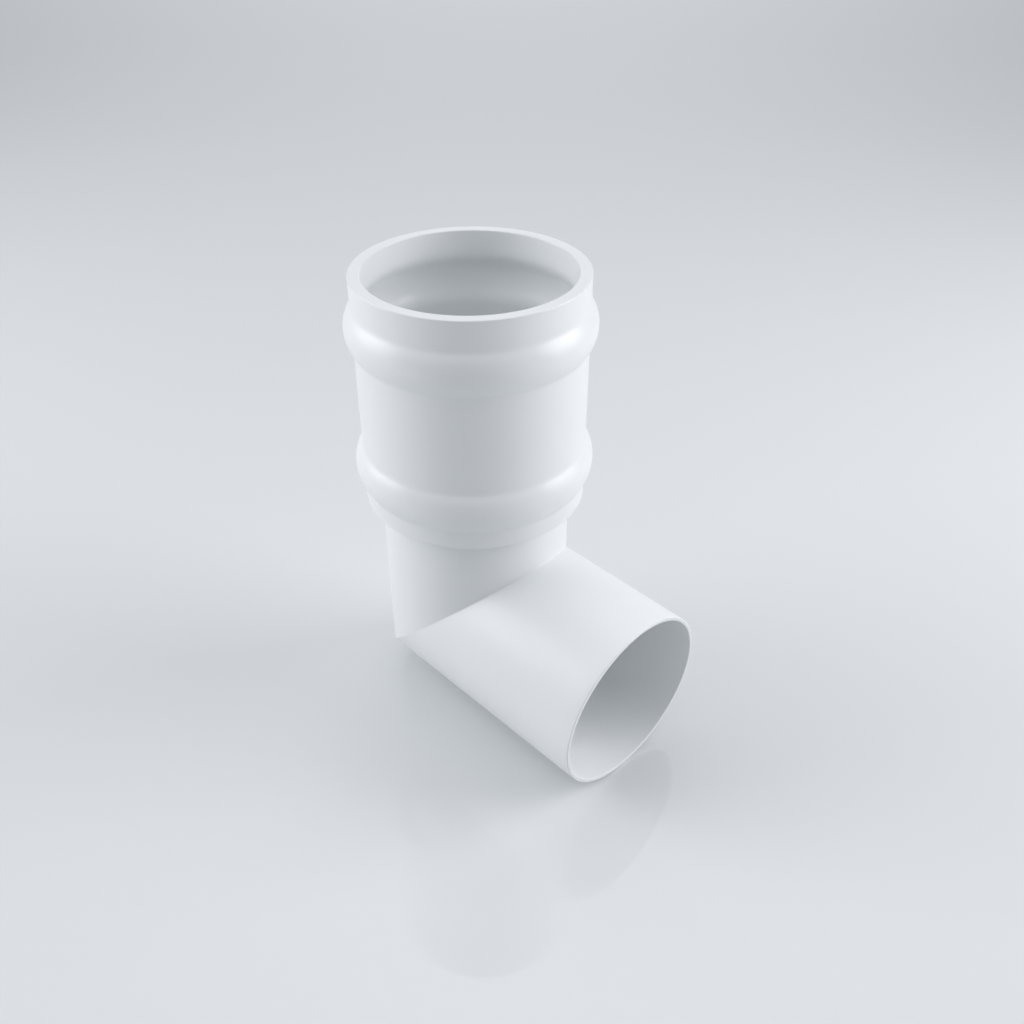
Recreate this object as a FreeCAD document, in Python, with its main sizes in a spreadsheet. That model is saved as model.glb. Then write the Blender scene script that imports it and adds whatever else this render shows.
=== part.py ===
import FreeCAD, Part
import math
import os
import Sketcher

# A downspout elbow moulded in one piece, in millimetres.
# The origin is the centre of the socket's mouth, in the plane of its rim.
# +Z points up out of the mouth, along the downpipe. +X points to the side where the water leaves.
# The XZ plane is the elbow's plane of symmetry.

NODE = "downspout_elbow"

# Driving sizes: name, value in millimetres or degrees, meaning
SIZES = [
    ("pipe_radius", 38.0, "outside of the pipe, the same as the downpipe that enters the socket"),
    ("pipe_wall", 1.6, "wall of the pipe"),
    ("socket_clearance", 1.6, "gap all round between the entering pipe and the socket's bore"),
    ("socket_wall", 4.5, "wall of the socket"),
    ("socket_depth", 92.0, "from the mouth down to the seat that the entering pipe rests on"),
    ("upper_bead_depth", 19.8, "from the mouth down to the middle of the upper bead"),
    ("lower_bead_rise", 15.3, "from the seat up to the middle of the lower bead"),
    ("bead_height", 3.1, "how far a bead stands out of the socket"),
    ("bead_width", 16.5, "length of a bead's arc along the socket, without its blends"),
    ("collar_overrun", 0.6, "how far the socket's straight outside runs on below the seat"),
    ("shoulder_drop", 5.0, "height of the slope from the socket down to the pipe"),
    ("throat_length", 16.2, "straight pipe between the shoulder and the mitre's inner corner"),
    ("spigot_length", 52.3, "straight pipe between the mitre's inner corner and the outlet's end"),
    ("outlet_fall", 2.5, "angle of the outlet's axis below the horizontal, in degrees"),
    ("bead_blend", 4.0, "blend where a bead meets the socket's straight outside"),
    ("groove_bevel", 2.0, "bevel where the groove behind a bead meets the straight bore"),
    ("mouth_chamfer", 0.3, "bevel of both edges of the mouth, which leads the pipe in"),
    ("outlet_chamfer", 0.35, "bevel of both edges of the outlet's end"),
]

# Sizes that follow from the driving ones. Depths are measured down from the mouth.
SOCKET_BORE = "sizes.pipe_radius + sizes.socket_clearance"
COLLAR_EDGE = "sizes.socket_depth + sizes.collar_overrun"
SHOULDER_END = COLLAR_EDGE + " + sizes.shoulder_drop"
MITRE_SETBACK = "sizes.pipe_radius * tan((90 - sizes.outlet_fall) / 2 * 1 deg)"
OUTLET_LEG = "(sizes.spigot_length + " + MITRE_SETBACK + ")"
BEND_DEPTH = SHOULDER_END + " + sizes.throat_length + " + MITRE_SETBACK
OUTLET_FALL = "sizes.outlet_fall * 1 deg"
BEAD_RADIUS = "(sizes.bead_width ^ 2 / 4 + sizes.bead_height ^ 2) / (2 * sizes.bead_height)"
GROOVE_RADIUS = "(" + BEAD_RADIUS + " - sizes.socket_wall)"
GROOVE_REACH = "sqrt((2 * " + GROOVE_RADIUS + " - sizes.bead_height) * sizes.bead_height)"
LOWER_BEAD_DEPTH = "sizes.socket_depth - sizes.lower_bead_rise"
DERIVED = {
    "pipe_bore": "sizes.pipe_radius - sizes.pipe_wall",
    "socket_bore": SOCKET_BORE,
    "socket_outside": SOCKET_BORE + " + sizes.socket_wall",
    "collar_edge": COLLAR_EDGE,
    "shoulder_end": SHOULDER_END,
    "upper_bead_top": "sizes.upper_bead_depth - sizes.bead_width / 2",
    "upper_bead_bottom": "sizes.upper_bead_depth + sizes.bead_width / 2",
    "lower_bead_top": LOWER_BEAD_DEPTH + " - sizes.bead_width / 2",
    "lower_bead_bottom": LOWER_BEAD_DEPTH + " + sizes.bead_width / 2",
    "bead_radius": BEAD_RADIUS,
    "upper_groove_top": "sizes.upper_bead_depth - " + GROOVE_REACH,
    "upper_groove_bottom": "sizes.upper_bead_depth + " + GROOVE_REACH,
    "lower_groove_top": LOWER_BEAD_DEPTH + " - " + GROOVE_REACH,
    "lower_groove_bottom": LOWER_BEAD_DEPTH + " + " + GROOVE_REACH,
    "groove_radius": GROOVE_RADIUS,
    "bend_depth": BEND_DEPTH,
    "outlet_reach": OUTLET_LEG + " * cos(" + OUTLET_FALL + ")",
    "outlet_drop": OUTLET_LEG + " * sin(" + OUTLET_FALL + ")",
}

# Points of a sketch edge, and the sketch's own origin and vertical axis
START = 1
END = 2
CENTRE = 3
ORIGIN = -1
UPRIGHT = -2

# Two lengths closer than this are the same
SAME = 0.01


def make_sheet(doc):
    """The driving sizes, one row each, with a name, a plain number and its meaning."""
    sheet = doc.addObject("Spreadsheet::Sheet", "sizes")
    for row, (name, value, meaning) in enumerate(SIZES, start=1):
        sheet.set("A%d" % row, name)
        sheet.set("B%d" % row, str(value))
        sheet.set("C%d" % row, meaning)
        sheet.setAlias("B%d" % row, name)
    doc.recompute()
    return sheet


def formula(name):
    """The formula that gives a size: its own cell, or what it follows from."""
    return DERIVED.get(name, "sizes." + name)


def read_sizes(sheet):
    """Every size, driving or derived, as the number that its formula gives."""
    names = [name for name, _, _ in SIZES] + list(DERIVED)
    return {name: float(sheet.evalExpression(formula(name))) for name in names}


def new_sketch(body, name, role):
    """An empty sketch on the body's own origin plane with this role, such as XZ_Plane."""
    sketch = body.newObject("Sketcher::SketchObject", name)
    plane = [feature for feature in body.Origin.OriginFeatures if feature.Role == role][0]
    sketch.AttachmentSupport = (plane, [""])
    sketch.MapMode = "FlatFace"
    return sketch


def line(sketch, start, end):
    """A straight edge, held upright or level if its ends are."""
    edge = sketch.addGeometry(Part.LineSegment(FreeCAD.Vector(*start, 0), FreeCAD.Vector(*end, 0)), False)
    if abs(start[0] - end[0]) < SAME:
        sketch.addConstraint(Sketcher.Constraint("Vertical", edge))
    elif abs(start[1] - end[1]) < SAME:
        sketch.addConstraint(Sketcher.Constraint("Horizontal", edge))
    return edge


def circle(sketch, radius):
    """A full circle round the sketch's origin."""
    edge = sketch.addGeometry(Part.Circle(FreeCAD.Vector(), FreeCAD.Vector(0, 0, 1), radius), False)
    sketch.addConstraint(Sketcher.Constraint("Coincident", edge, CENTRE, ORIGIN, START))
    return edge


def bulge(sketch, size, wall, band, place):
    """The arc of a bead or of the groove behind it, from its lower end on the wall round to its upper end."""
    radius = size[band + "_radius"]
    top, bottom = size["%s_%s_top" % (place, band)], size["%s_%s_bottom" % (place, band)]
    centre = FreeCAD.Vector(wall + size["bead_height"] - radius, -(top + bottom) / 2, 0)
    half_angle = math.asin((bottom - top) / 2 / radius)
    arc = Part.ArcOfCircle(Part.Circle(centre, FreeCAD.Vector(0, 0, 1), radius), -half_angle, half_angle)
    edge = sketch.addGeometry(arc, False)
    sketch.addConstraint(Sketcher.Constraint("Vertical", edge, START, edge, END))
    return edge


def dimension(sketch, size, name, kind, *points):
    """A dimension named after the size that drives it."""
    index = sketch.addConstraint(Sketcher.Constraint(kind, *points, size[name]))
    label = "%s_%d" % (name, index)
    sketch.renameConstraint(index, label)
    sketch.setExpression("Constraints." + label, formula(name))


def connect(sketch, steps):
    """Each step is an edge with the point where it is entered and left: leave one, enter the next."""
    for (edge, _, leave), (following, enter, _) in zip(steps, steps[1:] + steps[:1]):
        sketch.addConstraint(Sketcher.Constraint("Coincident", edge, leave, following, enter))


def wall_face(sketch, size, wall, band, bottom):
    """One face of the socket's wall, from the mouth down: lip, upper bulge, middle, lower bulge, tail.

    The band is the outside's bead or the groove behind it. Both have the same centre, so that the wall keeps
    its thickness round the bead.
    """
    upper_top, upper_bottom = size["upper_%s_top" % band], size["upper_%s_bottom" % band]
    lower_top, lower_bottom = size["lower_%s_top" % band], size["lower_%s_bottom" % band]
    return [
        (line(sketch, (wall, 0.0), (wall, -upper_top)), START, END),
        (bulge(sketch, size, wall, band, "upper"), END, START),
        (line(sketch, (wall, -upper_bottom), (wall, -lower_top)), START, END),
        (bulge(sketch, size, wall, band, "lower"), END, START),
        (line(sketch, (wall, -lower_bottom), (wall, -bottom)), START, END),
    ]


def draw_socket_section(body, size):
    """Half the section through the socket's wall, the seat in it and the shoulder below it."""
    sketch = new_sketch(body, "socket_section", "XZ_Plane")
    outside, bore = size["socket_outside"], size["socket_bore"]
    pipe, waterway = size["pipe_radius"], size["pipe_bore"]
    seat, collar, end = size["socket_depth"], size["collar_edge"], size["shoulder_end"]

    outer_face = wall_face(sketch, size, outside, "bead", collar)
    slope = line(sketch, (outside, -collar), (pipe, -end))
    foot = line(sketch, (pipe, -end), (waterway, -end))
    passage = line(sketch, (waterway, -end), (waterway, -seat))
    ledge = line(sketch, (waterway, -seat), (bore, -seat))
    inner_face = wall_face(sketch, size, bore, "groove", seat)
    rim = line(sketch, (bore, 0.0), (outside, 0.0))
    below = [(edge, START, END) for edge in (slope, foot, passage, ledge)]
    upwards = [(edge, leave, enter) for edge, enter, leave in reversed(inner_face)]
    connect(sketch, outer_face + below + upwards + [(rim, START, END)])

    sketch.addConstraint(Sketcher.Constraint("PointOnObject", rim, START, ORIGIN))
    dimension(sketch, size, "socket_bore", "DistanceX", ORIGIN, START, rim, START)
    dimension(sketch, size, "socket_outside", "DistanceX", ORIGIN, START, rim, END)
    dimension(sketch, size, "pipe_radius", "DistanceX", ORIGIN, START, foot, START)
    dimension(sketch, size, "pipe_bore", "DistanceX", ORIGIN, START, foot, END)
    dimension(sketch, size, "socket_depth", "DistanceY", ledge, START, ORIGIN, START)
    dimension(sketch, size, "collar_edge", "DistanceY", slope, START, ORIGIN, START)
    dimension(sketch, size, "shoulder_end", "DistanceY", slope, END, ORIGIN, START)
    for band, face in (("bead", outer_face), ("groove", inner_face)):
        for name, arc in (("upper_" + band, face[1][0]), ("lower_" + band, face[3][0])):
            dimension(sketch, size, name + "_top", "DistanceY", arc, END, ORIGIN, START)
            dimension(sketch, size, name + "_bottom", "DistanceY", arc, START, ORIGIN, START)
            dimension(sketch, size, band + "_radius", "Radius", arc)
    return sketch


def draw_pipe_ring(body, size):
    """The pipe's round section, level with the lower end of the shoulder."""
    sketch = new_sketch(body, "pipe_ring", "XY_Plane")
    sketch.setExpression("AttachmentOffset.Base.z", "-(" + formula("shoulder_end") + ")")
    for name in ("pipe_radius", "pipe_bore"):
        dimension(sketch, size, name, "Radius", circle(sketch, size[name]))
    return sketch


def draw_pipe_axis(body, size):
    """The pipe's axis: down from the shoulder to the bend, then out with a slight fall."""
    sketch = new_sketch(body, "pipe_axis", "XZ_Plane")
    top = (0.0, -size["shoulder_end"])
    bend = (0.0, -size["bend_depth"])
    down = line(sketch, top, bend)
    out = line(sketch, bend, (size["outlet_reach"], bend[1] - size["outlet_drop"]))
    sketch.addConstraint(Sketcher.Constraint("PointOnObject", down, START, UPRIGHT))
    sketch.addConstraint(Sketcher.Constraint("Coincident", down, END, out, START))
    dimension(sketch, size, "shoulder_end", "DistanceY", down, START, ORIGIN, START)
    dimension(sketch, size, "bend_depth", "DistanceY", down, END, ORIGIN, START)
    dimension(sketch, size, "outlet_reach", "DistanceX", out, START, out, END)
    dimension(sketch, size, "outlet_drop", "DistanceY", out, END, out, START)
    return sketch


def revolve_socket(body, section):
    """The socket, its seat and the shoulder, turned about the downpipe's axis."""
    socket = body.newObject("PartDesign::Revolution", "socket")
    socket.Profile = (section, [""])
    socket.ReferenceAxis = (section, ["V_Axis"])
    socket.Angle = 360.0
    return socket


def sweep_pipe(body, ring, axis):
    """The pipe along both legs, outside and bore alike cut to a sharp mitre where they meet."""
    pipe = body.newObject("PartDesign::AdditivePipe", "mitred_pipe")
    pipe.Profile = (ring, [""])
    pipe.Spine = (axis, ["Edge1", "Edge2"])
    pipe.Transition = "Right corner"
    return pipe


def circular_edge(shape, centre, radius):
    """Name of the circular edge with this centre and radius."""
    for number, edge in enumerate(shape.Edges, start=1):
        curve = edge.Curve
        if not isinstance(curve, Part.Circle) or abs(curve.Radius - radius) > SAME:
            continue
        if curve.Center.distanceToPoint(centre) < SAME:
            return "Edge%d" % number
    raise RuntimeError("no circular edge of radius %.2f at %s" % (radius, centre))


def finish_edges(body, kind, name, size_name, circles):
    """A fillet or a chamfer on each circular edge that is given by its centre and radius."""
    base = body.Tip
    feature = body.newObject("PartDesign::" + kind, name)
    feature.Base = (base, [circular_edge(base.Shape, centre, radius) for centre, radius in circles])
    feature.setExpression({"Fillet": "Radius", "Chamfer": "Size"}[kind], formula(size_name))
    body.Document.recompute()
    return feature


def finish_all_edges(body, size):
    """Blends at the ends of the beads, bevels at the ends of the grooves and at the edges of both open ends."""
    def level(depth):
        return FreeCAD.Vector(0, 0, -depth)

    def ends(band, wall):
        names = ["%s_%s_%s" % (place, band, end) for place in ("upper", "lower") for end in ("top", "bottom")]
        return [(level(size[name]), wall) for name in names]

    outside, bore = size["socket_outside"], size["socket_bore"]
    pipe, waterway = size["pipe_radius"], size["pipe_bore"]
    mouth = level(0.0)
    outlet = FreeCAD.Vector(size["outlet_reach"], 0, -size["bend_depth"] - size["outlet_drop"])
    finish_edges(body, "Fillet", "bead_blends", "bead_blend", ends("bead", outside))
    finish_edges(body, "Chamfer", "groove_bevels", "groove_bevel", ends("groove", bore))
    finish_edges(body, "Chamfer", "mouth_bevels", "mouth_chamfer", [(mouth, outside), (mouth, bore)])
    finish_edges(body, "Chamfer", "outlet_bevels", "outlet_chamfer", [(outlet, pipe), (outlet, waterway)])


def build_elbow(doc, size):
    """The whole elbow as one body."""
    body = doc.addObject("PartDesign::Body", NODE)
    body.Label = NODE
    revolve_socket(body, draw_socket_section(body, size))
    sweep_pipe(body, draw_pipe_ring(body, size), draw_pipe_axis(body, size))
    doc.recompute()
    finish_all_edges(body, size)
    return body


def check_document(doc):
    """Every object is up to date without an error, and every sketch is fully constrained."""
    for item in doc.Objects:
        faults = [state for state in item.State if state in ("Invalid", "Error")]
        if faults:
            raise RuntimeError("%s: %s" % (item.Name, faults))
        if item.TypeId == "Sketcher::SketchObject" and not item.FullyConstrained:
            raise RuntimeError("%s isn't fully constrained" % item.Name)


def write_node(body):
    """The finished solid goes to its own file, named after the node."""
    shape = body.Shape
    if shape.isNull() or not shape.isValid() or len(shape.Solids) != 1:
        raise RuntimeError("%s isn't one valid solid" % body.Label)
    os.makedirs("parts", exist_ok=True)
    shape.exportStep("parts/%s.step" % body.Label)
    box = shape.optimalBoundingBox()
    print("%s: %.1f mm3, %.1f x %.1f x %.1f mm" % (
        body.Label, shape.Volume, box.XLength, box.YLength, box.ZLength))


def main():
    doc = FreeCAD.newDocument(NODE + "_part")
    size = read_sizes(make_sheet(doc))
    elbow = build_elbow(doc, size)
    check_document(doc)
    write_node(elbow)


main()
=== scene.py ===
"""A white rainwater elbow, standing on a pale studio floor.

The elbow is one moulded piece: a deep socket with two hollow beads over a thin pipe, which turns at a
sharp mitre into a short outlet. Lengths are in millimetres until they become mesh points, in metres.
"""
import math

import bpy
import numpy as np
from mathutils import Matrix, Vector


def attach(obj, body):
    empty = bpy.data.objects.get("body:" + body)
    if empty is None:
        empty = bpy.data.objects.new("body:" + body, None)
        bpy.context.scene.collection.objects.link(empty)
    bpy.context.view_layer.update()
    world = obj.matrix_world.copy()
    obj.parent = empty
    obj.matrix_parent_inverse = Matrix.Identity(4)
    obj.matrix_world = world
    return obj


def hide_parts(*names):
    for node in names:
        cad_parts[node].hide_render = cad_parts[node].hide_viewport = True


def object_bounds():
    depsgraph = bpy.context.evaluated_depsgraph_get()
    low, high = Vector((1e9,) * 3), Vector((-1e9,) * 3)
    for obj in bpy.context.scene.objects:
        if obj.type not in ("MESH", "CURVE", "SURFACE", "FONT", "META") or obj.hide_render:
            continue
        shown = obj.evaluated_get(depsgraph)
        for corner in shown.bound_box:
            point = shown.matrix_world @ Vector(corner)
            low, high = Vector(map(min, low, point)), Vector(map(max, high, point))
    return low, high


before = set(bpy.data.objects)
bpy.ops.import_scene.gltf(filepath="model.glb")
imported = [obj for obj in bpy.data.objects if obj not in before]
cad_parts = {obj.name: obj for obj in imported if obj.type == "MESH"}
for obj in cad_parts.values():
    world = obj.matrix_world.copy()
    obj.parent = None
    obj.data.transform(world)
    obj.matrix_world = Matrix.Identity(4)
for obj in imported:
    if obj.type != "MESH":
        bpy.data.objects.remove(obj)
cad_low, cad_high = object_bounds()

NODE = "downspout_elbow"
MILLIMETRE = 0.001
# Points of a section that lie closer together than this are one point
SAME_POINT = 1e-6

# Radii: the thin pipe outside and inside, and the socket inside and outside
PIPE = 38.0
WATERWAY = 36.4
BORE = 39.6
OUTSIDE = 44.1
# Depths below the rim: the seat that stops the downpipe, the collar's edge, the shoulder's foot and the beads
SEAT_DEPTH = 92.0
COLLAR_DEPTH = 92.6
SHOULDER_DEPTH = 97.1
BEAD_DEPTHS = (19.8, 76.7)
# How far beads and grooves stand out, how wide each is, and how much higher a groove lies than its bead
BEAD_HEIGHT = 3.1
BEAD_WIDTH = 16.5
GROOVE_WIDTH = 15.8
GROOVE_RISE = 0.4
# Where the axes of the two legs cross, how long the outlet is from there, and its fall
BEND_DEPTH = 150.177
OUTLET_LEG = 88.677
OUTLET_FALL = math.radians(2.5)

# Roundings of its edges, and how far the mitre's sharp line is softened along each leg
MOUTH_ROUND = 0.45
BEAD_BLEND = 4.0
GROOVE_BLEND = 8.5
COLLAR_ROUND = 0.6
SHOULDER_BLEND = 1.5
SEAT_ROUND = 0.3
OUTLET_ROUND = 0.35
MITRE_SOFTNESS = 0.4

# How finely the surface is divided
ROUND_STEPS = 360
BEAD_STEPS = 20
BLEND_STEPS = 5
EDGE_STEPS = 6
# How close to the ends of a straight side its next points lie, and the share of the side they never pass
SUPPORT = 0.25
SUPPORT_SHARE = 0.25
# Where rings lie, as shares of the way: from the shoulder down to the mitre, and on to the outlet's end
UPRIGHT_SHARES = (0.06, 0.3, 0.6, 0.85, 0.975, 1.0)
OUTLET_SHARES = (0.025, 0.15, 0.4, 0.7, 0.94)

# The plastic. Its roughness stays above 0.275 all over, because around that value the render's noise filter
# takes the surface for a mirror in some patches and not in others, and draws their edges
PLASTIC_IOR = 1.5
ELBOW_TINTS = ((0.877, 0.908, 0.911, 1), (0.889, 0.919, 0.922, 1))
ELBOW_ROUGHNESS = 0.295
GLOSS_DRIFT = 0.015
# How many times a metre the tint, the gloss, the waviness and the grain change
TINT_SCALE = 14.0
GLOSS_SCALE = 60.0
WAVE_SCALE = 45.0
GRAIN_SCALE = 1800.0
# The grain's height as a share of the waves', and the strength and height in metres of both together
GRAIN_SHARE = 0.05
BUMP_STRENGTH = 0.15
BUMP_HEIGHT = 0.0001

# The studio. A bearing goes round the elbow in degrees, from the camera's side over the camera's right, and a
# height is the angle above the level of the elbow's middle
ELBOW_MIDDLE = (0.0, 0.0, -0.1)
# The soft boxes: bearing, height, distance and size in metres, watts
SOFT_BOXES = [
    ("right_soft_box", 90, 12, 1.5, (1.0, 0.9), 6.16),
    ("left_soft_box", -90, 12, 1.5, (1.0, 0.9), 3.91),
    ("left_back_soft_box", -105, 20, 1.2, (0.8, 0.72), 1.94),
    ("right_upper_soft_box", 90, 30, 0.9, (0.6, 0.54), 3.24),
    ("left_upper_soft_box", -90, 30, 0.9, (0.6, 0.54), 1.80),
]
BOX_COLOUR = (0.986, 0.960, 1.0)
# The elbow gets this much more of the boxes, for their light that the floor would mirror up to it
BOXES_ON_ELBOW = 1.06
# The room's even light, and its soft glows: bearing, height, focus and strength. The last one takes light
# away, because the room is darker on the camera's side
ROOM_LIGHT = 0.286
ROOM_GLOWS = [
    (180, 0, 12, 0.654),
    (180, 60, 40, 0.796),
    (-45, 60, 12, 0.597),
    (-90, 60, 12, 0.257),
    (0, 0, 12, -0.249),
]
ROOM_COLOUR = (0.9355, 0.9557, 1.0, 1)
FLOOR_COLOUR = (0.763, 0.791, 0.793, 1)
FLOOR_IOR = 1.7
FLOOR_ROUGHNESS = 0.03
FLOOR_REACH = 20.0

# The photograph's camera: lens and sensor in millimetres, place in metres
LENS = 36.0
SENSOR = 36.0
CAMERA_PLACE = (0.258200, -0.237020, 0.140842)
CAMERA_LOOK = (-1.0, 1.0, -1.0)


def arc(centre, radius, start, end, steps):
    """Points on a circle from one angle to another, as rows of (radius, height): centre plus radius times
    the cosine and the sine."""
    angle = np.linspace(start, end, steps + 1)
    return np.stack([centre[0] + radius * np.cos(angle), centre[1] + radius * np.sin(angle)], axis=1)


def straight(start, end):
    """Points on a line: both ends, the middle, and one close to each end, so that the shading of the edges
    doesn't spread over the side."""
    start, end = np.asarray(start, float), np.asarray(end, float)
    near = min(SUPPORT / np.linalg.norm(end - start), SUPPORT_SHARE)
    share = np.array([0.0, near, 0.5, 1 - near, 1.0])
    return start + share[:, None] * (end - start)


def corner(before, point, after, radius, steps=EDGE_STEPS):
    """A corner of a section, rounded: the arc that touches both of its sides. Its centre lies on the line
    that halves the angle between them, at radius over the sine of half that angle from the corner. The
    points before and after the corner can be any on its two sides."""
    before, point, after = (np.asarray(p, float) for p in (before, point, after))
    back = (before - point) / np.linalg.norm(before - point)
    on = (after - point) / np.linalg.norm(after - point)
    half = np.arccos(np.clip(back @ on, -1, 1)) / 2
    middle = point + (back + on) / np.linalg.norm(back + on) * radius / np.sin(half)
    first = point + back * radius / np.tan(half) - middle
    last = point + on * radius / np.tan(half) - middle
    start = np.arctan2(first[1], first[0])
    turn = (np.arctan2(last[1], last[0]) - start + np.pi) % (2 * np.pi) - np.pi
    return arc(middle, radius, start, start + turn, steps)


def bulge(wall, depth, width, blend):
    """A bead on the outside, or the groove behind it on the inside: a blend, an arc and a blend. The arc
    stands BEAD_HEIGHT out from the wall over a chord of this width. Each blend is a circle that touches the
    wall and the arc, so its centre lies its own radius off the wall and both radii from the arc's centre."""
    radius = (width ** 2 / 4 + BEAD_HEIGHT ** 2) / (2 * BEAD_HEIGHT)
    middle = (wall + BEAD_HEIGHT - radius, -depth)
    out = wall + blend - middle[0]
    rise = math.sqrt((radius + blend) ** 2 - out ** 2)
    lean = math.atan2(rise, out)
    upper = arc((wall + blend, middle[1] + rise), blend, math.pi, math.pi + lean, BLEND_STEPS)
    lower = arc((wall + blend, middle[1] - rise), blend, math.pi - lean, math.pi, BLEND_STEPS)
    return [upper, arc(middle, radius, lean, -lean, BEAD_STEPS), lower]


def joined(pieces):
    """The pieces of a section one after another, without the points that meet."""
    points = np.concatenate(pieces)
    gap = np.linalg.norm(np.diff(points, axis=0), axis=1)
    return points[np.concatenate([[True], gap > SAME_POINT])]


def wall_with_bulges(wall, top, bottom, bulges):
    """One skin of the socket's wall from one depth to another, as (radius, height), with its bulges."""
    pieces, reached = [], (wall, -top)
    for curves in bulges:
        pieces += [straight(reached, curves[0][0])] + curves
        reached = curves[-1][-1]
    return pieces + [straight(reached, (wall, -bottom))]


def socket_outside():
    """The outside, from the rim's outer edge down over the beads, the collar and the shoulder to the pipe."""
    edge = corner((BORE, 0), (OUTSIDE, 0), (OUTSIDE, -COLLAR_DEPTH), MOUTH_ROUND)
    collar = corner((OUTSIDE, 0), (OUTSIDE, -COLLAR_DEPTH), (PIPE, -SHOULDER_DEPTH), COLLAR_ROUND)
    foot = corner((OUTSIDE, -COLLAR_DEPTH), (PIPE, -SHOULDER_DEPTH), (PIPE, -BEND_DEPTH), SHOULDER_BLEND)
    beads = [bulge(OUTSIDE, depth, BEAD_WIDTH, BEAD_BLEND) for depth in BEAD_DEPTHS]
    wall = wall_with_bulges(OUTSIDE, -edge[-1][1], -collar[0][1], beads)
    return joined([edge] + wall + [collar, straight(collar[-1], foot[0]), foot])


def socket_inside():
    """The inside, from the waterway's upper edge out along the seat and up over the grooves to the rim."""
    inner = corner((WATERWAY, -BEND_DEPTH), (WATERWAY, -SEAT_DEPTH), (BORE, -SEAT_DEPTH), SEAT_ROUND)
    outer = corner((WATERWAY, -SEAT_DEPTH), (BORE, -SEAT_DEPTH), (BORE, 0), SEAT_ROUND)
    edge = corner((BORE, -SEAT_DEPTH), (BORE, 0), (OUTSIDE, 0), MOUTH_ROUND)
    grooves = [bulge(BORE, depth - GROOVE_RISE, GROOVE_WIDTH, GROOVE_BLEND) for depth in BEAD_DEPTHS]
    wall = wall_with_bulges(BORE, -edge[0][1], -outer[0][1], grooves)
    upwards = [piece[::-1] for piece in reversed(wall)]
    rim = straight(edge[-1], (OUTSIDE - MOUTH_ROUND, 0.0))
    return joined([inner, straight(inner[-1], outer[0]), outer] + upwards + [edge, rim])


def turned(section, angle):
    """Rings of a surface of revolution: each point of the section goes round the upright axis."""
    radius, height = section[:, 0, None], section[:, 1, None]
    rings = np.broadcast_arrays(radius * np.cos(angle), radius * np.sin(angle), height + 0 * angle)
    return np.stack(rings, axis=2)


def mitred_leg(radius, top, outlet_section, angle):
    """Rings down the upright pipe, round the mitre and along the outlet to its end.

    A point at this angle lies x = radius times the cosine from the upright axis, on the outlet's side. There
    the upright leg ends slope times x above the crossing of the axes, and the outlet begins slope times x out
    from it. The sharp ring where they meet is replaced by a parabola from one leg to the other, which begins
    and ends the mitre's softness away from the ring.
    """
    x, y = radius * np.cos(angle), radius * np.sin(angle)
    slope = math.cos(OUTLET_FALL) / (1 + math.sin(OUTLET_FALL))
    along = np.array([math.cos(OUTLET_FALL), 0, -math.sin(OUTLET_FALL)])
    upwards = np.array([math.sin(OUTLET_FALL), 0, math.cos(OUTLET_FALL)])
    crossing = np.array([0, 0, -BEND_DEPTH])

    def upright(height):
        return np.stack(np.broadcast_arrays(x, y, height), axis=-1)

    def outward(distance, across_x, across_y):
        return (crossing + distance[..., None] * along + across_x[..., None] * upwards
                + across_y[..., None] * np.array([0, 1, 0]))

    edge = upright(-BEND_DEPTH + slope * x)
    last_upright = upright(-BEND_DEPTH + slope * x + MITRE_SOFTNESS)
    first_outward = outward(slope * x + MITRE_SOFTNESS, x, y)
    start = upright(np.full_like(x, top))
    down = start + np.array(UPRIGHT_SHARES)[:, None, None] * (last_upright - start)
    turn = np.linspace(0, 1, EDGE_STEPS + 1)[1:, None, None]
    round_mitre = (1 - turn) ** 2 * last_upright + 2 * turn * (1 - turn) * edge + turn ** 2 * first_outward
    scale = outlet_section[:, 0, None] / radius
    reached = np.broadcast_to(outlet_section[:, 1, None], (len(outlet_section), len(x)))
    end = outward(reached, scale * x, scale * y)
    out = first_outward + np.array(OUTLET_SHARES)[:, None, None] * (end[0] - first_outward)
    return np.concatenate([down, round_mitre, out, end])


def outlet_edges():
    """The outlet's end as (radius, distance along its axis): the outer edge, then the inner one. The flat
    end lies between them."""
    outer = corner((PIPE, 0), (PIPE, OUTLET_LEG), (WATERWAY, OUTLET_LEG), OUTLET_ROUND)
    inner = corner((PIPE, OUTLET_LEG), (WATERWAY, OUTLET_LEG), (WATERWAY, 0), OUTLET_ROUND)
    return outer, inner


def elbow_rings():
    """All rings of the closed surface in order: down the outside, back through the inside, up to the rim."""
    angle = np.linspace(0, 2 * np.pi, ROUND_STEPS, endpoint=False)
    outside, inside = socket_outside(), socket_inside()
    outer_edge, inner_edge = outlet_edges()
    outer_leg = mitred_leg(PIPE, outside[-1, 1], outer_edge, angle)
    inner_leg = mitred_leg(WATERWAY, inside[0, 1], inner_edge[::-1], angle)[::-1]
    rings = [turned(outside, angle), outer_leg, inner_leg, turned(inside, angle)[:-1]]
    return np.concatenate(rings) * MILLIMETRE


def closed_mesh(name, rings):
    """A mesh from rings that follow each other round a closed loop, with faces between each two of them."""
    count, around = rings.shape[:2]
    ring, step = np.meshgrid(np.arange(count), np.arange(around), indexing="ij")
    next_ring, next_step = (ring + 1) % count, (step + 1) % around
    corners = (ring * around + step, next_ring * around + step, next_ring * around + next_step,
               ring * around + next_step)
    quads = np.stack(corners, axis=2).reshape(-1, 4)
    mesh = bpy.data.meshes.new(name)
    mesh.from_pydata(rings.reshape(-1, 3).tolist(), [], quads.tolist())
    mesh.polygons.foreach_set("use_smooth", np.ones(len(quads), bool))
    mesh.update()
    return mesh


def add_object(name, data):
    """An object at the origin, unturned and unscaled."""
    made = bpy.data.objects.new(name, data)
    bpy.context.scene.collection.objects.link(made)
    return made


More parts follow.
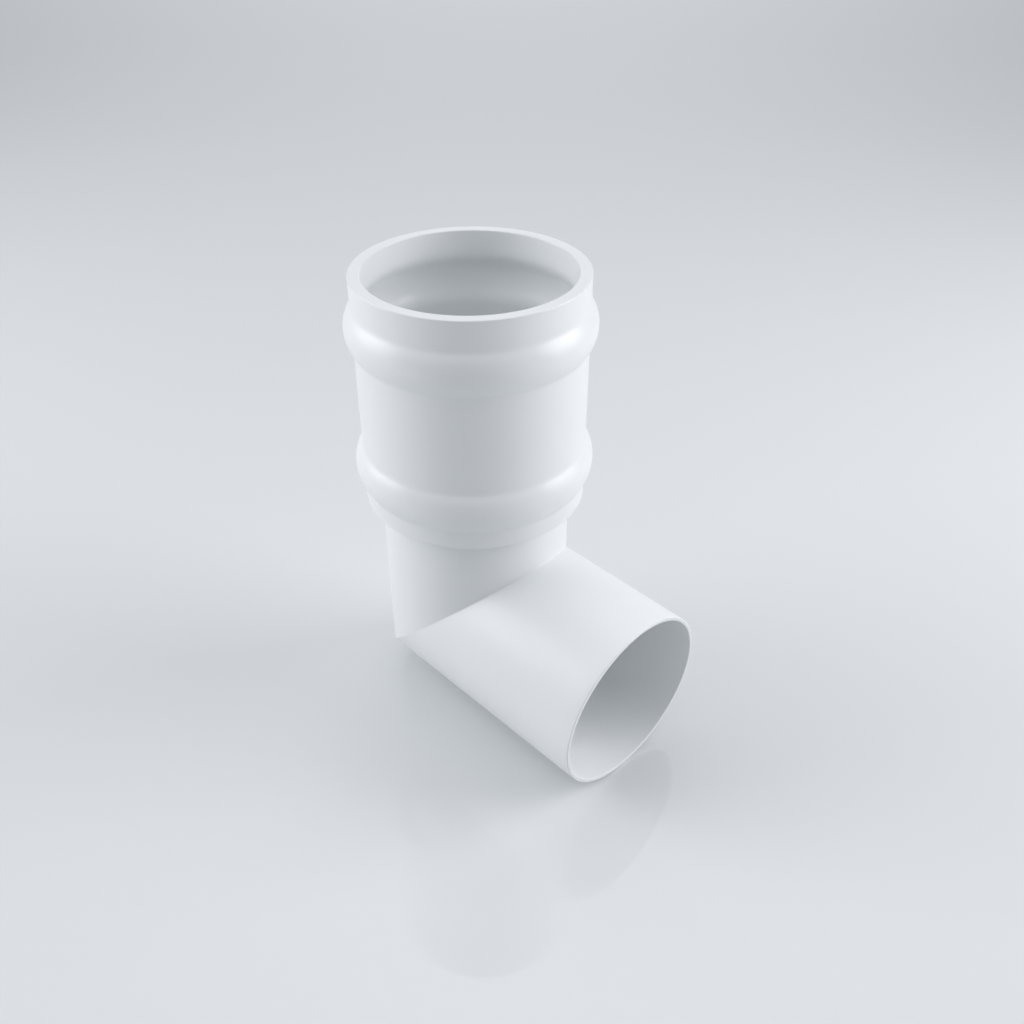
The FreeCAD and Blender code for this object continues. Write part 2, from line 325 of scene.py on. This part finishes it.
def group_with(name, inputs, outputs):
    """An empty shader node group with these named sockets, and its two end nodes."""
    group = bpy.data.node_groups.new(name, "ShaderNodeTree")
    for socket, kind, value in inputs:
        group.interface.new_socket(name=socket, in_out="INPUT", socket_type=kind).default_value = value
    for socket, kind in outputs:
        group.interface.new_socket(name=socket, in_out="OUTPUT", socket_type=kind)
    return group, group.nodes.new("NodeGroupInput"), group.nodes.new("NodeGroupOutput")


def maths(tree, operation, *inputs):
    """The result of a maths node, whose inputs are numbers or the results of other nodes."""
    node = tree.nodes.new("ShaderNodeMath")
    node.operation = operation
    for socket, value in zip(node.inputs, inputs):
        if isinstance(value, bpy.types.NodeSocket):
            tree.links.new(value, socket)
        else:
            socket.default_value = value
    return node.outputs["Value"]


def uneven_group():
    """Slow drift over a surface: soft noise on the object's own coordinates, brought to -1 to 1, times the
    amount, added to a middle value."""
    inputs = [("Scale", "NodeSocketFloat", 20.0), ("Middle", "NodeSocketFloat", 0.3),
              ("Amount", "NodeSocketFloat", 0.05)]
    group, start, end = group_with("uneven", inputs, [("Value", "NodeSocketFloat")])
    place = group.nodes.new("ShaderNodeTexCoord")
    noise = group.nodes.new("ShaderNodeTexNoise")
    noise.inputs["Detail"].default_value = 3.0
    noise.inputs["Roughness"].default_value = 0.55
    spread = group.nodes.new("ShaderNodeMapRange")
    spread.inputs["From Min"].default_value = 0.3
    spread.inputs["From Max"].default_value = 0.7
    spread.inputs["To Min"].default_value = -1.0
    spread.inputs["To Max"].default_value = 1.0
    drift, amount, middle = spread.outputs["Result"], start.outputs["Amount"], start.outputs["Middle"]
    total = maths(group, "MULTIPLY_ADD", drift, amount, middle)
    link = group.links.new
    link(place.outputs["Object"], noise.inputs["Vector"])
    link(start.outputs["Scale"], noise.inputs["Scale"])
    link(noise.outputs["Fac"], spread.inputs["Value"])
    link(total, end.inputs["Value"])
    return group


def add_uneven(tree, group, scale, middle, amount):
    """The drift group in a material, with its own values: the drifting value that it puts out."""
    node = tree.nodes.new("ShaderNodeGroup")
    node.node_tree = group
    node.inputs["Scale"].default_value = scale
    node.inputs["Middle"].default_value = middle
    node.inputs["Amount"].default_value = amount
    return node.outputs["Value"]


def moulded_white(uneven):
    """White moulded plastic: a cool white that drifts a little, a soft gloss, and the faint waviness and fine
    grain of a mould's surface."""
    material = bpy.data.materials.new("moulded_white_plastic")
    material.use_nodes = True
    tree = material.node_tree
    link = tree.links.new
    shader = tree.nodes["Principled BSDF"]
    shader.inputs["IOR"].default_value = PLASTIC_IOR

    drift = add_uneven(tree, uneven, TINT_SCALE, 0.5, 0.5)
    tint = tree.nodes.new("ShaderNodeMix")
    tint.data_type = "RGBA"
    tint.inputs["A"].default_value, tint.inputs["B"].default_value = ELBOW_TINTS
    link(drift, tint.inputs["Factor"])
    link(tint.outputs["Result"], shader.inputs["Base Color"])

    gloss = add_uneven(tree, uneven, GLOSS_SCALE, ELBOW_ROUGHNESS, GLOSS_DRIFT)
    link(gloss, shader.inputs["Roughness"])

    waves = add_uneven(tree, uneven, WAVE_SCALE, 0.0, 1.0)
    grain = add_uneven(tree, uneven, GRAIN_SCALE, 0.0, GRAIN_SHARE)
    bump = tree.nodes.new("ShaderNodeBump")
    bump.inputs["Strength"].default_value = BUMP_STRENGTH
    bump.inputs["Distance"].default_value = BUMP_HEIGHT
    link(maths(tree, "ADD", waves, grain), bump.inputs["Height"])
    link(bump.outputs["Normal"], shader.inputs["Normal"])
    return material


def studio_floor(level):
    """A pale, smooth floor that mirrors a little, open from below so that the underside can be seen."""
    mesh = bpy.data.meshes.new("studio_floor")
    corners = [(x * FLOOR_REACH, y * FLOOR_REACH, level) for x, y in ((-1, -1), (1, -1), (1, 1), (-1, 1))]
    mesh.from_pydata(corners, [], [(0, 1, 2, 3)])
    floor = add_object("studio_floor", mesh)
    material = bpy.data.materials.new("studio_floor")
    material.use_nodes = True
    tree = material.node_tree
    shader = tree.nodes["Principled BSDF"]
    shader.inputs["Base Color"].default_value = FLOOR_COLOUR
    shader.inputs["Roughness"].default_value = FLOOR_ROUGHNESS
    shader.inputs["IOR"].default_value = FLOOR_IOR
    facing = tree.nodes.new("ShaderNodeNewGeometry")
    clear = tree.nodes.new("ShaderNodeBsdfTransparent")
    mixed = tree.nodes.new("ShaderNodeMixShader")
    tree.links.new(facing.outputs["Backfacing"], mixed.inputs["Fac"])
    tree.links.new(shader.outputs["BSDF"], mixed.inputs[1])
    tree.links.new(clear.outputs["BSDF"], mixed.inputs[2])
    tree.links.new(mixed.outputs["Shader"], tree.nodes["Material Output"].inputs["Surface"])
    mesh.materials.append(material)
    return floor


def direction(bearing, height):
    """The unit vector from the elbow's middle towards this bearing and height."""
    bearing, height = math.radians(bearing), math.radians(height)
    to_camera = Vector((1.0, -1.0, 0.0)).normalized()
    to_right = Vector((1.0, 1.0, 0.0)).normalized()
    level = math.cos(bearing) * to_camera + math.sin(bearing) * to_right
    return math.cos(height) * level + Vector((0.0, 0.0, math.sin(height)))


def soft_light(lit, name, bearing, height, distance, size, watts):
    """A soft box that faces the elbow's middle and lights one object."""
    towards = direction(bearing, height)
    data = bpy.data.lights.new(name, "AREA")
    data.shape = "RECTANGLE"
    data.size, data.size_y = size
    data.energy = watts
    data.color = BOX_COLOUR
    lamp = add_object(name, data)
    lamp.location = Vector(ELBOW_MIDDLE) + distance * towards
    lamp.rotation_euler = (-towards).to_track_quat("-Z", "Y").to_euler()
    lamp.light_linking.receiver_collection = bpy.data.collections.new(name + "_lights")
    lamp.light_linking.receiver_collection.objects.link(lit)
    return lamp


def soft_room():
    """An even, cool, pale room with soft glows. A glow's strength falls off round its middle with the angle
    to it, as (1 + cosine) / 2 to the power of its focus."""
    world = bpy.data.worlds.new("studio_room")
    bpy.context.scene.world = world
    world.use_nodes = True
    tree = world.node_tree
    background = tree.nodes["Background"]
    background.inputs["Color"].default_value = ROOM_COLOUR
    place = tree.nodes.new("ShaderNodeTexCoord")
    light = ROOM_LIGHT
    for bearing, height, focus, strength in ROOM_GLOWS:
        cosine = tree.nodes.new("ShaderNodeVectorMath")
        cosine.operation = "DOT_PRODUCT"
        cosine.inputs[1].default_value = direction(bearing, height)
        tree.links.new(place.outputs["Generated"], cosine.inputs[0])
        half = maths(tree, "MULTIPLY_ADD", cosine.outputs["Value"], 0.5, 0.5)
        light = maths(tree, "MULTIPLY_ADD", maths(tree, "POWER", half, focus), strength, light)
    tree.links.new(light, background.inputs["Strength"])


def studio_lights(elbow, floor):
    """The soft boxes and the room round them. Each box has a twin for the floor, which lights it but isn't
    mirrored in it, so that no box shows there from any side."""
    for name, *place, watts in SOFT_BOXES:
        soft_light(elbow, name, *place, watts * BOXES_ON_ELBOW)
        soft_light(floor, name + "_for_floor", *place, watts).visible_glossy = False
    soft_room()


def place_camera():
    """The photograph's view: level with no roll, from the outlet's side, looking down at the elbow."""
    data = bpy.data.cameras.new("photo_camera")
    data.lens = LENS
    data.sensor_width = SENSOR
    camera = add_object("photo_camera", data)
    camera.location = CAMERA_PLACE
    camera.rotation_euler = Vector(CAMERA_LOOK).to_track_quat("-Z", "Y").to_euler()
    bpy.context.scene.camera = camera


def add_elbow(material):
    """The elbow's own surface, which stands for the plain solid."""
    elbow = add_object("elbow", closed_mesh("elbow", elbow_rings()))
    elbow.data.materials.append(material)
    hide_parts(NODE)
    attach(elbow, "root")
    return elbow


place_camera()
bpy.context.scene.view_settings.view_transform = "Standard"
elbow = add_elbow(moulded_white(uneven_group()))
floor = studio_floor(cad_low.z)
studio_lights(elbow, floor)
